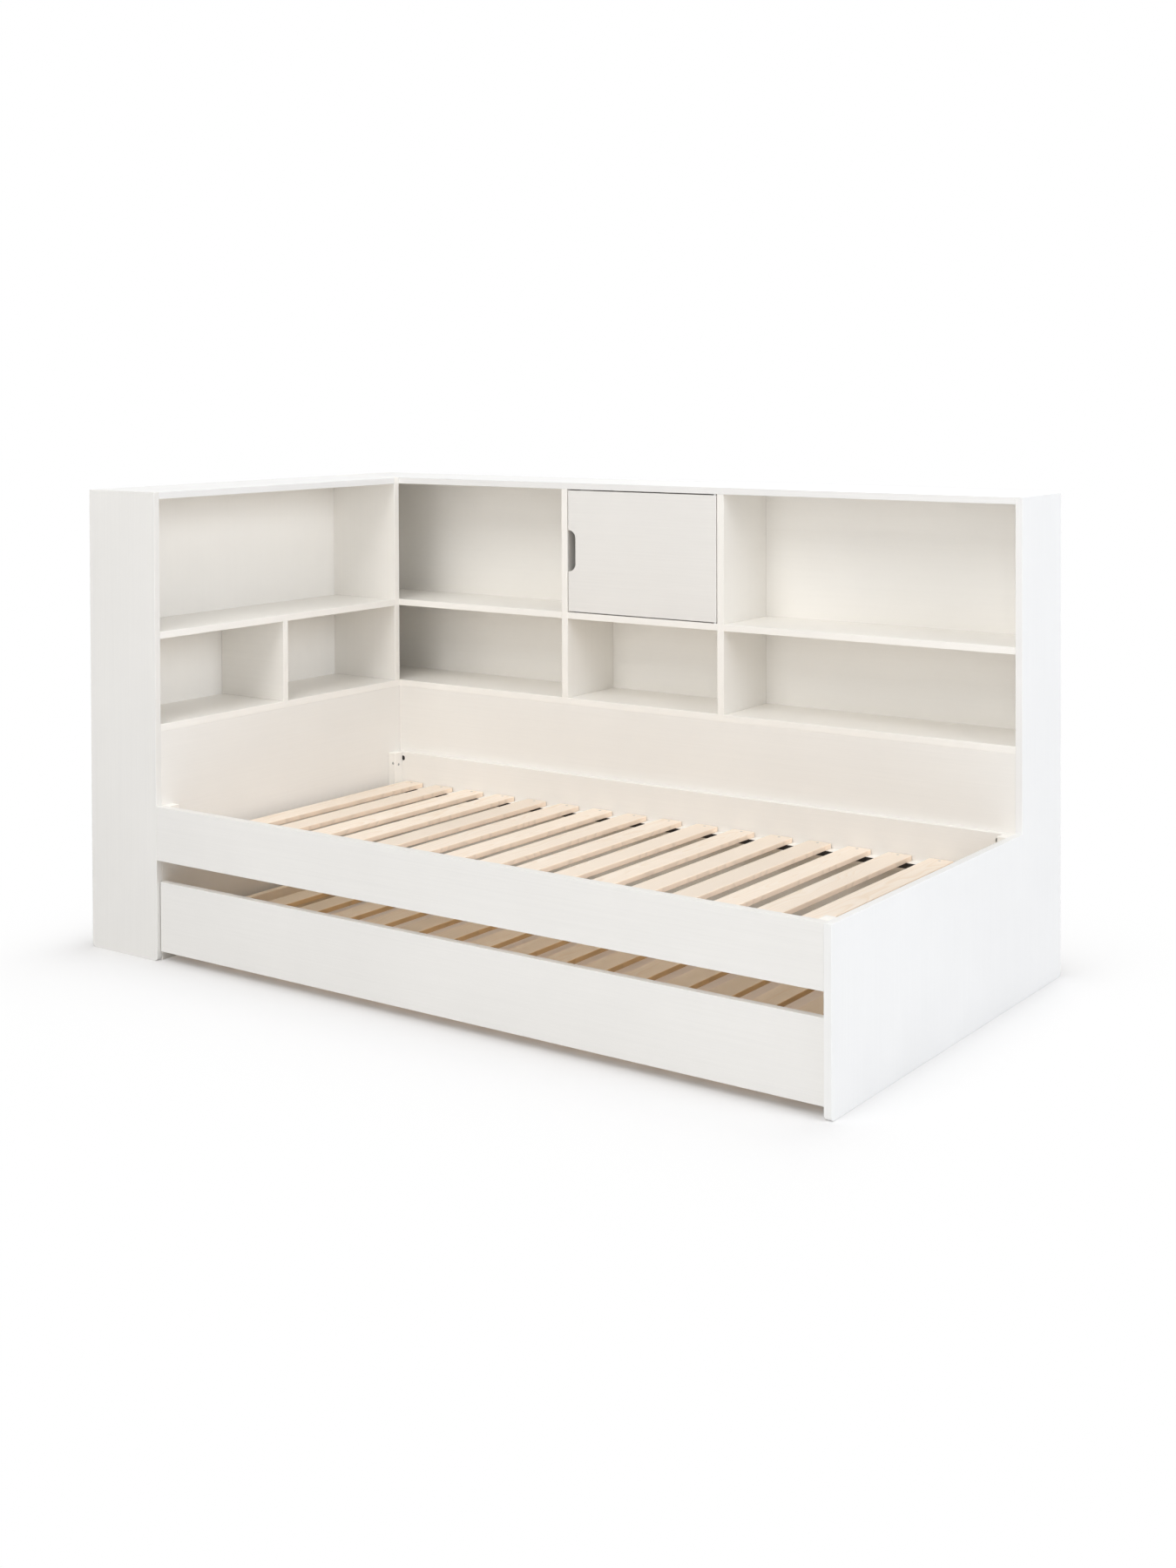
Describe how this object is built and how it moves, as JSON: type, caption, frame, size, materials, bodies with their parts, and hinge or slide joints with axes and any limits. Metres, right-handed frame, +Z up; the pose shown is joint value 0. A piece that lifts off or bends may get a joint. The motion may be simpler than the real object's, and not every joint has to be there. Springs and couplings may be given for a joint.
{
  "type": "bookcase headboard bed",
  "caption": "Corner day bed with open bookcases at its head and along the wall, a small cupboard with a notched door, a slatted base and a slatted trundle that rolls out in front.",
  "frame": {"origin": "middle of the footprint, on the floor", "axes": "+X along the bed from the headboard bookcase to the end panel, +Y from the open front to the wall, +Z up"},
  "size_m": [2.17, 1.19, 1.194],
  "materials": {
    "lacquered_board": "satin white lacquer on board",
    "back_sheet": "white painted fibreboard",
    "pine": "planed pine, unvarnished",
    "steel": "zinc plated",
    "zinc": "die-cast, dull",
    "plastic": "white moulded",
    "roller_plastic": "black moulded"
  },
  "bodies": {
    "bed": {"headboard_front_side": "lacquered_board", "headboard_inner_side": "lacquered_board", "headboard_lower_partition": "lacquered_board", "headboard_top": "lacquered_board", "headboard_shelf": "lacquered_board", "headboard_base": "lacquered_board", "headboard_divider": "lacquered_board", "headboard_lower_panel": "lacquered_board", "rear_left_side": "lacquered_board", "rear_top": "lacquered_board", "rear_base": "lacquered_board", "rear_divider_left": "lacquered_board", "rear_divider_right": "lacquered_board", "rear_shelf_left": "lacquered_board", "rear_shelf_middle": "lacquered_board", "rear_shelf_right": "lacquered_board", "rear_lower_panel": "lacquered_board", "rear_lower_partitions": "lacquered_board", "end_panel": "lacquered_board", "front_rail": "lacquered_board", "rear_rail": "lacquered_board", "slat_ledgers": "lacquered_board", "corner_blocks": "lacquered_board", "headboard_back": "back_sheet", "rear_back": "back_sheet", "bed_slat_01": "pine", "bed_slat_02": "pine", "bed_slat_03": "pine", "bed_slat_04": "pine", "bed_slat_05": "pine", "bed_slat_06": "pine", "bed_slat_07": "pine", "bed_slat_08": "pine", "bed_slat_09": "pine", "bed_slat_10": "pine", "bed_slat_11": "pine", "bed_slat_12": "pine", "bed_slat_13": "pine", "bed_slat_14": "pine", "bed_slat_15": "pine", "bed_slat_16": "pine", "bed_slat_17": "pine", "cam_fittings": "zinc", "bed_screws": "steel", "door_pivots": "steel", "door_catch": "plastic"},
    "door": {"cupboard_door": "lacquered_board"},
    "trundle": {"trundle_front": "lacquered_board", "trundle_left_end": "lacquered_board", "trundle_right_end": "lacquered_board", "trundle_rear": "lacquered_board", "trundle_ledgers": "lacquered_board", "trundle_slats": "pine", "trundle_screws": "steel", "roller_brackets": "steel", "roller_axles": "steel"},
    "roller_front_left": {"roller_front_left": "roller_plastic"},
    "roller_front_right": {"roller_front_right": "roller_plastic"},
    "roller_rear_left": {"roller_rear_left": "roller_plastic"},
    "roller_rear_right": {"roller_rear_right": "roller_plastic"}
  },
  "joints": [
    {"name": "door_hinge", "type": "hinge", "parent": "bed", "child": "door", "pos_m": [0.2345, 0.363, 1.007], "axis": [0, 0, 1], "range_deg": [0, 100]},
    {"name": "trundle_slide", "type": "slide", "parent": "bed", "child": "trundle", "axis": [0, -1, 0], "range_m": [0, 0.9]},
    {"name": "roller_front_left_turn", "type": "hinge", "parent": "trundle", "child": "roller_front_left", "pos_m": [-0.791, -0.495, 0.025], "axis": [1, 0, 0], "range_deg": [0, 2063]},
    {"name": "roller_rear_left_turn", "type": "hinge", "parent": "trundle", "child": "roller_rear_left", "pos_m": [-0.791, 0.238, 0.025], "axis": [1, 0, 0], "range_deg": [0, 2063]},
    {"name": "roller_front_right_turn", "type": "hinge", "parent": "trundle", "child": "roller_front_right", "pos_m": [1.016, -0.495, 0.025], "axis": [1, 0, 0], "range_deg": [0, 2063]},
    {"name": "roller_rear_right_turn", "type": "hinge", "parent": "trundle", "child": "roller_rear_right", "pos_m": [1.016, 0.238, 0.025], "axis": [1, 0, 0], "range_deg": [0, 2063]}
  ],
  "couplings": [
    {"joint": "roller_front_left_turn", "follows": "trundle_slide", "rad_per_m": 40},
    {"joint": "roller_front_right_turn", "follows": "trundle_slide", "rad_per_m": 40},
    {"joint": "roller_rear_left_turn", "follows": "trundle_slide", "rad_per_m": 40},
    {"joint": "roller_rear_right_turn", "follows": "trundle_slide", "rad_per_m": 40}
  ]
}
